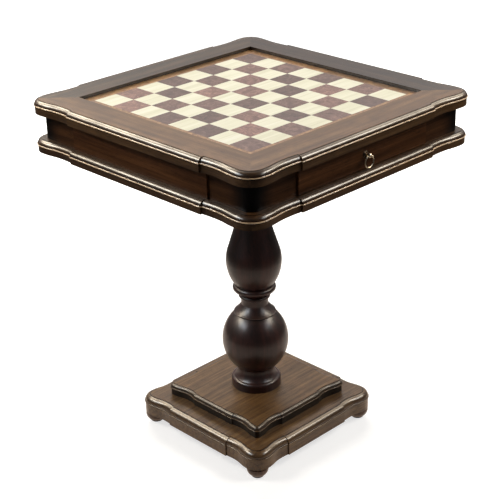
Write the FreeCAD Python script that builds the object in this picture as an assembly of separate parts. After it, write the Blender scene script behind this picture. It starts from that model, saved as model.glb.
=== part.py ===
import FreeCAD, Part
import math
import os

# Chess table with an inlaid board: a moulded top frame round a recessed board, a shallow case with one
# drawer, a turned column and a two-tier base on bun feet.
# Millimetres. Origin on the floor under the middle of the table, +Z up, drawer front towards -Y.

V = FreeCAD.Vector
UP = V(0, 0, 1)
CORNERS = (("front_left", -1, -1), ("front_right", 1, -1), ("back_left", -1, 1), ("back_right", 1, 1))
SIDES = (("front", 0), ("right", 90), ("back", 180), ("left", 270))

# ---------------------------------------------------------------- driving sizes: heights, from the floor up
foot_height = 25.0
lower_tier_thickness = 41.0
upper_tier_thickness = 26.0
column_foot_height = 45.0
ball_height = 129.0
collar_height = 68.0
vase_height = 230.0
cap_height = 82.0
lower_frame_thickness = 26.0
case_height = 54.0
top_thickness = 28.0

lower_tier_z = foot_height
upper_tier_z = lower_tier_z + lower_tier_thickness
foot_z = upper_tier_z + upper_tier_thickness
ball_z = foot_z + column_foot_height
collar_z = ball_z + ball_height
vase_z = collar_z + collar_height
cap_z = vase_z + vase_height
lower_frame_z = cap_z + cap_height
case_z = lower_frame_z + lower_frame_thickness
top_z = case_z + case_height
table_height = top_z + top_thickness

# ---------------------------------------------------------------- driving sizes: board
square_size = 55.0
squares_per_side = 8
border_shown = 22.0
board_recess = 7.5
veneer = 2.0
core_thickness = 12.0
groove_depth = 9.0
panel_gap = 1.0
groove_play = 0.2

field_half = square_size * squares_per_side / 2
opening_half = field_half + border_shown
core_half = opening_half + groove_depth - panel_gap
board_z = table_height - board_recess
core_z = board_z - veneer - core_thickness

# ---------------------------------------------------------------- driving sizes: outlines seen from above
# half: half-size at the straight middle; corner_part: how far from that half-size the middle ends;
# step: set-back of the corner part there; dip: hollow beside it, dip_in from the half-size;
# lobe_out: how far the corner part then stands past the middle; corner: radius of the corner itself
frame_rail_width = 76.0
lower_tier_half = 183.5
tier_set_back = 47.0

frame_half = opening_half + frame_rail_width
upper_tier_half = lower_tier_half - tier_set_back
FRAME_OUTLINE = dict(half=frame_half, corner_part=131.0, step=4.0, dip=5.5, dip_in=100.0, lobe_out=0.0,
                     corner=39.0)
LOWER_TIER_OUTLINE = dict(half=lower_tier_half, corner_part=95.5, step=2.5, dip=4.0, dip_in=74.5,
                          lobe_out=2.0, corner=33.0)
UPPER_TIER_OUTLINE = dict(half=upper_tier_half, corner_part=78.0, step=1.5, dip=4.5, dip_in=56.0,
                          lobe_out=2.0, corner=11.0)

# ---------------------------------------------------------------- driving sizes: edge mouldings
# quirk: small step where the ovolo starts; ovolo: its radius; ledge: bead below it; ledge_out: how far the
# bead stands past the ovolo; ledge_round: how far its face bows out; groove, groove_in: shadow line below the
# bead; band_in: set-back of the band
FRAME_PROFILE = dict(quirk=0.9, ovolo=9.0, ledge_out=1.5, ledge=2.6, ledge_round=0.9, groove=1.6,
                     groove_in=3.2, band_in=1.8)
LOWER_TIER_PROFILE = dict(quirk=0.8, ovolo=13.0, ledge_out=1.4, ledge=1.8, ledge_round=0.6, groove=1.0,
                          groove_in=2.4, band_in=1.4)
UPPER_TIER_PROFILE = dict(quirk=0.8, ovolo=7.5, ledge_out=1.6, ledge=1.8, ledge_round=0.6, groove=1.2,
                          groove_in=3.6, band_in=3.0)
rim_margin = 0.8
same_place = 0.01

# ---------------------------------------------------------------- driving sizes: case
case_set_back = 21.0
post_radius = 20.0
case_wall = 18.0
post_block = 29.0
panel_proud = 4.0
post_width = 107.0
front_post_width = 114.0
tenon_length = 10.0
tenon_thickness = 8.0
tenon_play = 0.1
lower_rail_width = 78.0
case_bottom_thickness = 12.0
bottom_rebate = 10.0
bottom_play = 0.3
bearer_width = 160.0
bearer_play = 0.2
washer_seat = 2.0
fixing_block = 18.0
fixing_block_length = 40.0
fixing_block_at = 110.0
spline_thickness = 4.0
spline_size = 36.0
spline_in = 38.0

case_half = frame_half - case_set_back
front_face = case_half + panel_proud
wall_inside = case_half - case_wall
side_panel_half = case_half - post_width
opening_side = case_half - front_post_width
lower_opening_half = frame_half - lower_rail_width
bottom_half = lower_opening_half + bottom_rebate
bottom_z = case_z - case_bottom_thickness
bearer_thickness = bottom_z - lower_frame_z

# ---------------------------------------------------------------- driving sizes: drawer
opening_gap = 1.0
drawer_front_gap = 1.5
drawer_front_thickness = 22.0
drawer_length = 340.0
drawer_side_thickness = 10.0
drawer_side_inset = 7.0
drawer_headroom = 12.0
drawer_side_into_front = 8.0
drawer_bottom_thickness = 4.0
drawer_bottom_lift = 6.0
drawer_bottom_groove = 5.0
drawer_back_drop = 4.0
drawer_tab_half = 60.0
drawer_tab_gap = 2.0
drawer_travel = 240.0
lining_thickness = 1.5
lining_gap = 0.5
slide_gap = 0.3
guide_width = 8.0
guide_height = 20.0
runner_thickness = 3.0
runner_width = 22.0
kicker_width = 20.0
kicker_gap = 1.0
stop_thickness = 14.0
stop_width = 40.0
stop_height = 24.0

drawer_front_half = opening_side - opening_gap
front_back = front_face - drawer_front_thickness
drawer_outside = drawer_front_half - drawer_side_inset
drawer_inside = drawer_outside - drawer_side_thickness
drawer_z = case_z + runner_thickness + slide_gap
drawer_side_top = drawer_z + case_height - drawer_headroom
drawer_bottom_z = drawer_z + drawer_bottom_lift
drawer_bottom_top = drawer_bottom_z + drawer_bottom_thickness
drawer_back_y = -front_back + drawer_length
kicker_z = drawer_side_top + kicker_gap

# ---------------------------------------------------------------- driving sizes: ring pull
pull_above_middle = 2.0
plate_radius = 7.5
plate_thickness = 2.2
plate_slope = 2.2
stem_radius = 2.6
eye_radius = 4.8
eye_reach = 10.0
eye_hole = 2.5
tip_radius = 2.3
tip_reach = 6.5
stud_radius = 2.0
stud_play = 0.25
ring_wire = 1.5
ring_radius = 12.0
pull_nut_flats = 7.0
pull_nut_height = 3.2
stud_proud = 1.0

pull_z = case_z + case_height / 2 + pull_above_middle

# ---------------------------------------------------------------- driving sizes: turnings of the column
# radii, and heights above each turning's own foot
foot_radius = 54.0
foot_face_height = 14.5
foot_edge = 6.5
foot_neck_radius = 38.5
foot_cove_out = 2.0
foot_cove_drop = 13.0
ball_radius = 71.5
ball_widest_at = 66.0
ball_tuck_from = 17.5
ball_tuck_radius = 56.5
ball_foot_radius = 40.5
ball_tuck_bow = 0.6
ball_top_radius = 44.0
shoulder_radius = 45.0
shoulder_height = 1.5
shoulder_quirk = 2.0
shoulder_step = 2.0
neck_radius = 29.3
neck_from = 22.0
neck_to = 32.0
neck_hollow = 0.4
bead_radius = 34.0
bead_at = 41.0
bead_half = 4.5
bead_neck = 30.0
ring_radius_outer = 46.5
ring_foot = 39.0
ring_height = 15.0
vase_radius = 59.4
vase_foot_radius = 40.5
vase_widest_at = 56.5
vase_cone_from = 86.0
vase_cone_from_radius = 54.2
vase_cone_to_radius = 34.0
vase_cove = 27.0
vase_neck_radius = 26.0
vase_neck_height = 28.0
vase_bead_radius = 38.0
vase_bead_height = 24.0
cap_radius = 52.0
cap_neck_radius = 32.0
cap_flare_from = 30.0
cap_flare_radius = 46.0
cap_flare_hollow = 0.29
cap_disc = 14.0

vase_neck_to = vase_z + vase_height - vase_bead_height
vase_neck_from = vase_neck_to - vase_neck_height
vase_cone_to = vase_neck_from - vase_cove

# ---------------------------------------------------------------- driving sizes: fastenings of the column
rod_radius = 5.0
rod_bore = 6.0
spigot_radius = 16.0
spigot_length = 12.0
spigot_play = 0.1
socket_extra_depth = 1.0
nut_flats = 17.0
nut_height = 8.0
washer_radius = 15.0
washer_thickness = 2.0
counterbore_radius = 16.5
counterbore_base = 14.0
rod_proud = 1.0

under_seat_z = lower_tier_z + counterbore_base
over_seat_z = bottom_z + washer_seat

# ---------------------------------------------------------------- driving sizes: feet and screws
bun_set_back = 25.0
bun_radius = 23.0
bun_ankle_in = 3.0
bun_toe_in = 9.0
bun_widest_drop = 6.0
glide_radius = 13.0
glide_thickness = 3.0
bolt_radius = 4.0
bolt_in_foot = 19.0
bolt_in_tier = 19.0
screw_radius = 2.0
screw_head = 4.0
tier_screw_in = 59.0
tier_screw_bite = 12.0
top_screw_bite = 6.0
bearer_screw_bite = 6.0
bearer_screw_in = 40.0
bearer_screw_margin = 30.0

bun_at = lower_tier_half - bun_set_back
tier_screw_at = upper_tier_half - tier_screw_in
bearer_screw_x = lower_opening_half - bearer_screw_in
bearer_screw_y = bearer_width / 2 - bearer_screw_margin
bearer_screws = [(x * bearer_screw_x, y * bearer_screw_y) for x in (-1, 1) for y in (-1, 1)]
tier_screws = [(x * tier_screw_at, y * tier_screw_at) for _, x, y in CORNERS]
bun_places = {name: (x * bun_at, y * bun_at) for name, x, y in CORNERS}


# ---------------------------------------------------------------- small helpers
def box(x0, x1, y0, y1, z0, z1):
    """Box between two corners, whichever way round each pair is given."""
    x0, x1 = sorted((x0, x1))
    y0, y1 = sorted((y0, y1))
    z0, z1 = sorted((z0, z1))
    return Part.makeBox(x1 - x0, y1 - y0, z1 - z0, V(x0, y0, z0))


def rod(radius, z0, z1, x=0.0, y=0.0):
    return Part.makeCylinder(radius, z1 - z0, V(x, y, z0))


def hexagon(flats, z0, z1, x=0.0, y=0.0):
    corner = flats / math.sqrt(3)
    points = [V(x + corner * math.cos(math.radians(a)), y + corner * math.sin(math.radians(a)), z0)
              for a in range(0, 361, 60)]
    return Part.Face(Part.makePolygon(points)).extrude(V(0, 0, z1 - z0))


def turned_about(shape, angle):
    """Copy of a shape turned about the table's upright axis."""
    copy = shape.copy()
    copy.rotate(V(0, 0, 0), UP, angle)
    return copy


def mirrored_x(shape):
    return shape.mirror(V(0, 0, 0), V(1, 0, 0))


def joined(shapes):
    first = shapes[0]
    if len(shapes) > 1:
        first = first.multiFuse(shapes[1:])
    return first.removeSplitter()


def without(shape, cutters):
    for cutter in cutters:
        shape = shape.cut(cutter)
    return shape


def group(solids):
    return Part.makeCompound(solids)


def arc(a, b, c):
    return Part.Arc(a, b, c).toShape()


def arc_by_centre(centre, radius, start, end):
    """Arc in a level plane from one angle to another, in degrees."""
    middle = (start + end) / 2
    radians = [math.radians(angle) for angle in (start, middle, end)]
    return arc(*[V(*centre) + V(math.cos(a), math.sin(a), 0) * radius for a in radians])


# ---------------------------------------------------------------- serpentine slab with a moulded edge
def straight_end(outline):
    """Where the straight middle of a side ends, from the middle of the side."""
    return outline["half"] - outline["corner_part"]


def corner_path(outline, inward, z):
    """Edges of the front-left corner's outline, moved in by a distance, from the front side to the left side.

    Beside the straight middle the outline hollows, swells to a lobe and turns the corner. It is made of
    arcs that meet smoothly, so moving it in only changes their radii.
    """
    half = outline["half"]
    start = straight_end(outline)
    dip_at = half - outline["dip_in"]
    side_at_start = half - outline["step"]
    side_at_dip = half - outline["dip"]
    lobe = half + outline["lobe_out"]
    corner = outline["corner"]
    centre = lobe - corner
    first_drop = side_at_start - side_at_dip
    first_run = dip_at - start
    first_radius = (first_run ** 2 + first_drop ** 2) / (2 * first_drop)
    rise = lobe - side_at_dip
    run = centre - dip_at
    swell_radius = (run ** 2 + rise ** 2) / (4 * rise)
    first_angle = math.degrees(math.asin(first_run / first_radius))
    swell_angle = math.degrees(math.asin(run / (2 * swell_radius)))

    edges = []
    hollow_centre = (-dip_at, -(side_at_dip + first_radius), z)
    edges.append(arc_by_centre(hollow_centre, first_radius + inward, 90 - first_angle, 90))
    hollow_centre = (-dip_at, -(side_at_dip + swell_radius), z)
    edges.append(arc_by_centre(hollow_centre, swell_radius + inward, 90, 90 + swell_angle))
    swell_centre = (-centre, -(lobe - swell_radius), z)
    edges.append(arc_by_centre(swell_centre, swell_radius - inward, 270 + swell_angle, 270))
    edges.append(arc_by_centre((-centre, -centre, z), corner - inward, 270, 225))
    mirrored = [edge.mirror(V(0, 0, 0), V(1, -1, 0)) for edge in reversed(edges)]
    return edges + mirrored


def profile_depth(profile):
    return profile["ledge_out"] + profile["ovolo"] + rim_margin


def moulding_section(profile, thickness, place):
    """Closed section of the moulded edge; place(inward, z) turns a section point into a 3-D point."""
    depth = profile_depth(profile)
    ovolo_in = profile["ledge_out"] + profile["ovolo"]
    ovolo_top = thickness - profile["quirk"]
    ovolo_foot = ovolo_top - profile["ovolo"]
    ledge_foot = ovolo_foot - profile["ledge"]
    groove_foot = ledge_foot - profile["groove"]
    bend = profile["ovolo"] * (1 - math.sqrt(0.5))
    bow = profile["ledge_round"]
    groove_in = profile["groove_in"]
    band_in = profile["band_in"]
    top = [place(depth, thickness), place(ovolo_in, thickness), place(ovolo_in, ovolo_top)]
    step = [place(profile["ledge_out"], ovolo_foot), place(bow, ovolo_foot)]
    below = [place(bow, ledge_foot), place(groove_in, ledge_foot), place(groove_in, groove_foot),
             place(band_in, groove_foot), place(band_in, 0), place(depth, 0), top[0]]
    ovolo = arc(top[-1], place(profile["ledge_out"] + bend, ovolo_top - bend), step[0])
    bead = arc(step[-1], place(0, (ovolo_foot + ledge_foot) / 2), below[0])
    lines = Part.makePolygon(top).Edges + [ovolo] + Part.makePolygon(step).Edges + [bead]
    lines += Part.makePolygon(below).Edges
    return Part.Wire(lines)


def moulded_slab(outline, profile, z, thickness):
    """Flat slab with the serpentine outline and the moulded edge all round."""
    depth = profile_depth(profile)
    solids = []
    for _, angle in SIDES:
        section = moulding_section(profile, thickness,
                                   lambda d, h: V(-straight_end(outline), -outline["half"] + d, z + h))
        run = Part.Face(section).extrude(V(2 * straight_end(outline), 0, 0))
        solids.append(turned_about(run, angle))

        path = Part.Wire(corner_path(outline, 0.0, z))
        start = path.Edges[0].valueAt(path.Edges[0].FirstParameter)
        across = path.Edges[0].tangentAt(path.Edges[0].FirstParameter).cross(UP)
        inward = across if across.y > 0 else across.negative()
        section = moulding_section(profile, thickness, lambda d, h: start + inward * d + V(0, 0, h))
        sweep = Part.BRepOffsetAPI.MakePipeShell(path)
        sweep.setBiNormalMode(UP)
        sweep.add(section)
        sweep.build()
        sweep.makeSolid()
        solids.append(turned_about(sweep.shape(), angle))
    solids.extend(inner_plates(outline, depth, z, thickness))
    return joined(solids)


def inner_plates(outline, depth, z, thickness):
    """The slab inside its moulded edge: two crossing boards and a plate in each corner."""
    start = straight_end(outline)
    reach = outline["half"] - depth
    plates = [box(-start, start, -reach, reach, z, z + thickness),
              box(-reach, reach, -start, start, z, z + thickness)]
    curve = corner_path(outline, depth, z)
    first = curve[0].valueAt(curve[0].FirstParameter)
    last = V(first.y, first.x, z)
    inside = V(first.x, first.x, z)
    closing = Part.makePolygon([first, inside, last])
    corner = Part.Face(Part.Wire(Part.__sortEdges__(curve + closing.Edges))).extrude(V(0, 0, thickness))
    plates.extend(turned_about(corner, angle) for _, angle in SIDES)
    return plates


def square_block(half, z0, z1):
    return box(-half, half, -half, half, z0, z1)


def mitre_wedge(angle, z0, z1):
    """Triangle from the middle of the table over one whole side."""
    reach = 2 * frame_half
    points = [V(0, 0, z0), V(-reach, -reach, z0), V(reach, -reach, z0), V(0, 0, z0)]
    return turned_about(Part.Face(Part.makePolygon(points)).extrude(V(0, 0, z1 - z0)), angle)


def mitred_rails(frame, z0, z1):
    """Cut a frame along its diagonals into four rails, by side name."""
    return {side: frame.common(mitre_wedge(angle, z0, z1)) for side, angle in SIDES}


def turned(steps):
    """Solid of revolution round the column's axis.

    Each step is (radius, height) for a line, or (middle point, end point) for an arc.
    """
    edges = []
    here = steps[0]
    for step in steps[1:] + [steps[0]]:
        if isinstance(step[0], tuple):
            middle, end = step
            edges.append(arc(V(here[0], 0, here[1]), V(middle[0], 0, middle[1]), V(end[0], 0, end[1])))
            here = end
        else:
            edges.append(Part.LineSegment(V(here[0], 0, here[1]), V(step[0], 0, step[1])).toShape())
            here = step
    return Part.Face(Part.Wire(edges)).revolve(V(0, 0, 0), UP, 360)


def belly_arc(widest, end):
    """Arc that leaves the widest point of a turning straight up or down; as a step that ends at either."""
    drop = widest[0] - end[0]
    rise = end[1] - widest[1]
    radius = (drop ** 2 + rise ** 2) / (2 * drop)
    half_angle = math.asin(abs(rise) / radius) / 2
    middle_radius = widest[0] - radius * (1 - math.cos(half_angle))
    middle_height = widest[1] + math.copysign(radius * math.sin(half_angle), rise)
    return (middle_radius, middle_height)


def bowed_middle(start, end, bow):
    """Middle point of a shallow arc between two section points, bowed outward and down by the bow."""
    run = end[0] - start[0]
    rise = end[1] - start[1]
    length = math.hypot(run, rise)
    return ((start[0] + end[0]) / 2 + bow * rise / length, (start[1] + end[1]) / 2 - bow * run / length)


# ---------------------------------------------------------------- shared places and fastenings
def block_centres():
    """Middle of each fixing block, against the inside of the left, right and back walls."""
    inset = wall_inside - fixing_block / 2
    left = [(-inset, side * fixing_block_at) for side in (-1, 1)]
    right = [(inset, side * fixing_block_at) for side in (-1, 1)]
    back = [(side * fixing_block_at, inset) for side in (-1, 1)]
    return left + right + back


def wood_screw(x, y, z_head, length):
    """Countersunk screw that points up, its head's face at z_head."""
    sink = screw_head - screw_radius
    point = 2 * screw_radius
    head = Part.makeCone(screw_head, screw_radius, sink, V(x, y, z_head))
    shank = rod(screw_radius, z_head, z_head + length - point, x, y)
    tip = Part.makeCone(screw_radius, 0, point, V(x, y, z_head + length - point))
    return joined([head, shank, tip])


# ---------------------------------------------------------------- top frame and playing board
def top_frame():
    slab = moulded_slab(FRAME_OUTLINE, FRAME_PROFILE, top_z, top_thickness)
    opening = square_block(opening_half, top_z, table_height)
    groove = square_block(opening_half + groove_depth, core_z, board_z + groove_play)
    return without(slab, [opening, groove] + spline_plates(top_z, top_thickness) + top_screw_solids())


def spline_plates(z, thickness):
    """Loose tongues across the four mitres, at half the frame's thickness."""
    at = frame_half - spline_in
    low = z + (thickness - spline_thickness) / 2
    plates = []
    for _, x, y in CORNERS:
        plate = square_block(spline_size / 2, low, low + spline_thickness)
        plate.rotate(V(0, 0, 0), UP, 45)
        plate.translate(V(x * at, y * at, 0))
        plates.append(plate)
    return plates


def board_squares(dark):
    """Every second square of veneer; the corner square at the front left is dark."""
    squares = []
    for column in range(squares_per_side):
        for row in range(squares_per_side):
            if ((column + row) % 2 == 0) == dark:
                x = column * square_size - field_half
                y = row * square_size - field_half
                squares.append(box(x, x + square_size, y, y + square_size, board_z - veneer, board_z))
    return group(squares)


def border_strips():
    z = board_z - veneer
    border = square_block(core_half, z, board_z).cut(square_block(field_half, z, board_z))
    return mitred_rails(border, z, board_z)


def top_screw_solids():
    head_z = top_z - fixing_block
    return [wood_screw(x, y, head_z, fixing_block + top_screw_bite) for x, y in block_centres()]


def fixing_blocks():
    blocks = []
    for x, y in block_centres():
        along_x = fixing_block_length if abs(y) > abs(x) else fixing_block
        along_y = fixing_block_length if abs(x) > abs(y) else fixing_block
        block = box(x - along_x / 2, x + along_x / 2, y - along_y / 2, y + along_y / 2,
                    top_z - fixing_block, top_z)
        blocks.append(without(block, top_screw_solids()))
    return group(blocks)


# ---------------------------------------------------------------- case
def tenoned_panel(play):
    """Front-side panel with a tenon at each end; the mortises are the same shape with a little play."""
    board = box(-side_panel_half, side_panel_half, -front_face, -wall_inside, case_z, top_z)
    middle = (case_half + wall_inside) / 2
    shoulder = tenon_thickness
    reach = side_panel_half + tenon_length + play
    tenon = box(-reach, reach, -middle - tenon_thickness / 2 - play, -middle + tenon_thickness / 2 + play,
                case_z + shoulder - play, top_z - shoulder + play)
    return joined([board, tenon])


def corner_post(name, x, y):
    """Rounded L-shaped post with a three-cornered block inside it."""
    front_end = opening_side if y < 0 else side_panel_half
    arm = box(-case_half, -front_end, -case_half, -wall_inside, case_z, top_z)
    side_arm = box(-case_half, -wall_inside, -case_half, -side_panel_half, case_z, top_z)
    inner_corner = V(-wall_inside, -wall_inside, case_z)
    triangle = Part.makePolygon([inner_corner, inner_corner + V(post_block, 0, 0),
                                 inner_corner + V(0, post_block, 0), inner_corner])
    stiffener = Part.Face(triangle).extrude(V(0, 0, case_height))
    post = joined([arm, side_arm, stiffener])
    outer = [edge for edge in post.Edges
             if all(max(abs(v.X + case_half), abs(v.Y + case_half)) < same_place for v in edge.Vertexes)]
    post = post.makeFillet(post_radius, outer)
    if x > 0:
        post = mirrored_x(post)
    if y > 0:
        post = post.mirror(V(0, 0, 0), V(0, 1, 0))
    mortises = [turned_about(tenoned_panel(tenon_play), angle) for angle in (90, 180, 270)]
    return without(post, mortises)


def lower_frame():
    slab = moulded_slab(FRAME_OUTLINE, FRAME_PROFILE, lower_frame_z, lower_frame_thickness)
    opening = square_block(lower_opening_half, lower_frame_z, case_z)
    rebate = square_block(bottom_half + bottom_play, bottom_z, case_z)
    return without(slab, [opening, rebate] + spline_plates(lower_frame_z, lower_frame_thickness))


def bearer_screw_solids():
    return [wood_screw(x, y, lower_frame_z, bearer_thickness + bearer_screw_bite) for x, y in bearer_screws]


def case_bottom():
    board = square_block(bottom_half, bottom_z, case_z)
    bore = rod(rod_bore, bottom_z, case_z)
    counterbore = rod(counterbore_radius, over_seat_z, case_z)
    return without(board, [bore, counterbore] + bearer_screw_solids())


def column_bearer():
    reach = lower_opening_half - bearer_play
    board = box(-reach, reach, -bearer_width / 2, bearer_width / 2, lower_frame_z, bottom_z)
    return without(board, [rod(rod_bore, lower_frame_z, bottom_z)] + bearer_screw_solids()
                   + [rod(spigot_radius + spigot_play, lower_frame_z, bottom_z)])


def drawer_runner():
    """Left runner: a thin wear strip under the drawer side and a guide wall beside it."""
    inner = -drawer_outside + runner_width - guide_width
    guide = -drawer_outside - slide_gap
    length_back = drawer_back_y + stop_thickness + slide_gap
    strip = box(guide - guide_width, inner, -wall_inside, length_back, case_z, case_z + runner_thickness)
    wall = box(guide - guide_width, guide, -wall_inside, length_back, case_z, case_z + guide_height)
    return joined([strip, wall])


def drawer_kicker():
    """Left kicker: keeps the drawer's side from tipping up; it hangs from the top's front and back rails."""
    outer = -drawer_outside
    return box(outer, outer + kicker_width, -wall_inside, wall_inside, kicker_z, top_z)


def drawer_stops():
    """Two blocks behind the closed drawer, and one under the board that stops the open one."""
    back = drawer_back_y + slide_gap
    blocks = []
    for side in (-1, 1):
        x = side * (drawer_outside + guide_width - runner_width - stop_width / 2)
        blocks.append(box(x - stop_width / 2, x + stop_width / 2, back, back + stop_thickness,
                          case_z, case_z + stop_height))
    catch = drawer_back_y - drawer_side_thickness - drawer_travel - slide_gap
    blocks.append(box(-stop_width / 2, stop_width / 2, catch - stop_thickness, catch,
                      kicker_z, core_z))
    return group(blocks)


# ---------------------------------------------------------------- drawer
def stud_hole():
    hole = rod(stud_radius + stud_play, 0, 2 * drawer_front_thickness)
    hole.rotate(V(0, 0, 0), V(1, 0, 0), -90)
    hole.translate(V(0, -front_face - drawer_front_thickness / 2, pull_z))
    return hole


def drawer_side_blank():
    """Left side of the drawer before its groove is cut; its front end is let into the drawer front."""
    return box(-drawer_outside, -drawer_inside, -front_back - drawer_side_into_front, drawer_back_y,
               drawer_z, drawer_side_top)


def drawer_side():
    """Left side with the groove for the bottom, open to the inside."""
    return drawer_side_blank().cut(drawer_bottom_board())


def drawer_bottom_board():
    reach = drawer_inside + drawer_bottom_groove
    return box(-reach, reach, -front_back - drawer_bottom_groove, drawer_back_y,
               drawer_bottom_z, drawer_bottom_top)


def drawer_front():
    low = case_z + drawer_front_gap
    high = top_z - drawer_front_gap
    board = box(-drawer_front_half, drawer_front_half, -front_face, -front_back, low, high)
    side = drawer_side_blank()
    return without(board, [side, mirrored_x(side), drawer_bottom_board(), stud_hole()])


def drawer_back():
    """Back between the sides, standing on the bottom, with a raised tab that meets the stop."""
    y0 = drawer_back_y - drawer_side_thickness
    top = drawer_side_top - drawer_back_drop
    board = box(-drawer_inside, drawer_inside, y0, drawer_back_y, drawer_bottom_top, top)
    tab = box(-drawer_tab_half, drawer_tab_half, y0, drawer_back_y, drawer_bottom_top,
              core_z - drawer_tab_gap - slide_gap)
    return joined([board, tab])


def drawer_lining():
    reach = drawer_inside - lining_gap
    return box(-reach, reach, -front_back + lining_gap, drawer_back_y - drawer_side_thickness - lining_gap,
               drawer_bottom_top, drawer_bottom_top + lining_thickness)


def facing_front(shape):
    """Turn a piece made on the upright axis to point out of the drawer front at the pull."""
    shape.rotate(V(0, 0, 0), V(1, 0, 0), 90)
    shape.translate(V(0, -front_face, pull_z))
    return shape


def pull_backplate():
    rim = plate_thickness / 3
    face = plate_radius - plate_slope
    steps = [(stem_radius, 0), (plate_radius, 0), (plate_radius, rim), (face, plate_thickness),
             (stem_radius, plate_thickness)]
    return facing_front(turned(steps))


def pull_post():
    """Stud, stem, cross-drilled eye and bead, in one turning."""
    stud = rod(stud_radius, -drawer_front_thickness - pull_nut_height - stud_proud, 0)
    stem = rod(stem_radius, 0, eye_reach)
    eye = Part.makeSphere(eye_radius, V(0, 0, eye_reach))
    bead = Part.makeSphere(tip_radius, V(0, 0, eye_reach + tip_reach))
    post = joined([stud, stem, eye, bead])
    hole = rod(eye_hole, -2 * eye_radius, 2 * eye_radius)
    hole.rotate(V(0, 0, 0), V(0, 1, 0), 90)
    hole.translate(V(0, 0, eye_reach))
    return facing_front(post.cut(hole))


def pull_nut():
    z0 = -drawer_front_thickness - pull_nut_height
    nut = hexagon(pull_nut_flats, z0, -drawer_front_thickness).cut(rod(stud_radius, z0, 0))
    return facing_front(nut)


def pull_ring():
    ring = Part.makeTorus(ring_radius, ring_wire, V(0, 0, 0), V(0, 1, 0))
    ring.translate(V(0, -front_face - eye_reach, pull_z - ring_radius))
    return ring


# ---------------------------------------------------------------- column, from the floor up
def spigot(z):
    """Turned spigot below a piece whose foot is at z."""
    return rod(spigot_radius, z - spigot_length, z)


def socket(z):
    return rod(spigot_radius + spigot_play, z - spigot_length - socket_extra_depth, z)


def column_piece(steps, z0, z1):
    """One turning with its bore, its spigot below and the socket for the next piece above."""
    solid = joined([turned([(0, z0)] + steps + [(0, z1)]), spigot(z0)])
    return without(solid, [rod(rod_bore, z0 - spigot_length, z1), socket(z1)])


def column_foot():
    face = foot_z + foot_face_height
    edge = foot_radius - foot_edge
    top = face + foot_edge
    bend = foot_edge * (1 - math.sqrt(0.5))
    steps = [(foot_radius, foot_z), (foot_radius, face), ((foot_radius - bend, top - bend), (edge, top)),
             ((foot_neck_radius + foot_cove_out, ball_z - foot_cove_drop), (foot_neck_radius, ball_z))]
    return column_piece(steps, foot_z, ball_z)


def column_ball():
    widest = (ball_radius, ball_z + ball_widest_at)
    foot = (ball_foot_radius, ball_z)
    top = (ball_top_radius, collar_z)
    tuck = (ball_tuck_radius, ball_z + ball_tuck_from)
    steps = [foot, (bowed_middle(foot, tuck, ball_tuck_bow), tuck), (belly_arc(widest, tuck), widest),
             (belly_arc(widest, top), top)]
    return column_piece(steps, ball_z, collar_z)


def column_collar():
    """Shoulder, neck, bead and ring between the ball and the vase."""
    step = ball_top_radius - shoulder_step
    shoulder_low = collar_z + shoulder_quirk
    shoulder_top = shoulder_low + shoulder_height
    neck_low = collar_z + neck_from
    bead_z = collar_z + bead_at
    ring_z = vase_z - ring_height
    neck_middle = (neck_radius + neck_hollow * (shoulder_radius - neck_radius), (shoulder_top + neck_low) / 2)
    steps = [(step, collar_z), (step, shoulder_low), (shoulder_radius, shoulder_low),
             (shoulder_radius, shoulder_top), (neck_middle, (neck_radius, neck_low)),
             (neck_radius, collar_z + neck_to),
             (bead_neck, bead_z - bead_half), ((bead_radius, bead_z), (bead_neck, bead_z + bead_half)),
             (ring_foot, ring_z), ((ring_radius_outer, ring_z + ring_height / 2), (ring_foot, vase_z))]
    return column_piece(steps, collar_z, vase_z)


def column_vase():
    widest = (vase_radius, vase_z + vase_widest_at)
    foot = (vase_foot_radius, vase_z)
    shoulder = (vase_cone_from_radius, vase_z + vase_cone_from)
    cone_end = (vase_cone_to_radius, vase_cone_to)
    neck = (vase_neck_radius, vase_neck_from)
    neck_middle = ((cone_end[0] + 3 * neck[0]) / 4, (cone_end[1] + neck[1]) / 2)
    bead_middle = (vase_bead_radius, (vase_neck_to + cap_z) / 2)
    steps = [foot, (belly_arc(widest, foot), widest), (belly_arc(widest, shoulder), shoulder), cone_end,
             (neck_middle, neck), (vase_neck_radius, vase_neck_to),
             (cap_neck_radius, vase_neck_to), (bead_middle, (cap_neck_radius, cap_z))]
    return column_piece(steps, vase_z, cap_z)


def column_cap():
    """Neck, flare and disc under the case, with a spigot at both ends."""
    flare_low = cap_z + cap_flare_from
    flare_top = lower_frame_z - cap_disc
    flare_middle = (cap_neck_radius + cap_flare_hollow * (cap_flare_radius - cap_neck_radius),
                    flare_low + (1 - cap_flare_hollow) * (flare_top - flare_low))
    steps = [(cap_neck_radius, cap_z), (cap_neck_radius, flare_low),
             (flare_middle, (cap_flare_radius, flare_top)), (cap_radius, flare_top),
             (cap_radius, lower_frame_z)]
    upper_spigot = rod(spigot_radius, lower_frame_z, bottom_z - socket_extra_depth)
    solid = joined([turned([(0, cap_z)] + steps + [(0, lower_frame_z)]), spigot(cap_z), upper_spigot])
    return solid.cut(rod(rod_bore, cap_z - spigot_length, bottom_z))


def tie_rod():
    low = under_seat_z - washer_thickness - nut_height - rod_proud
    return rod(rod_radius, low, over_seat_z + washer_thickness + nut_height)


def rod_nuts():
    under = under_seat_z - washer_thickness
    over = over_seat_z + washer_thickness
    nuts = [hexagon(nut_flats, under - nut_height, under), hexagon(nut_flats, over, over + nut_height)]
    return group([nut.cut(tie_rod()) for nut in nuts])


def rod_washers():
    washers = [rod(washer_radius, under_seat_z - washer_thickness, under_seat_z),
               rod(washer_radius, over_seat_z, over_seat_z + washer_thickness)]
    return group([washer.cut(rod(rod_bore, under_seat_z - washer_thickness, case_z)) for washer in washers])


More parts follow.
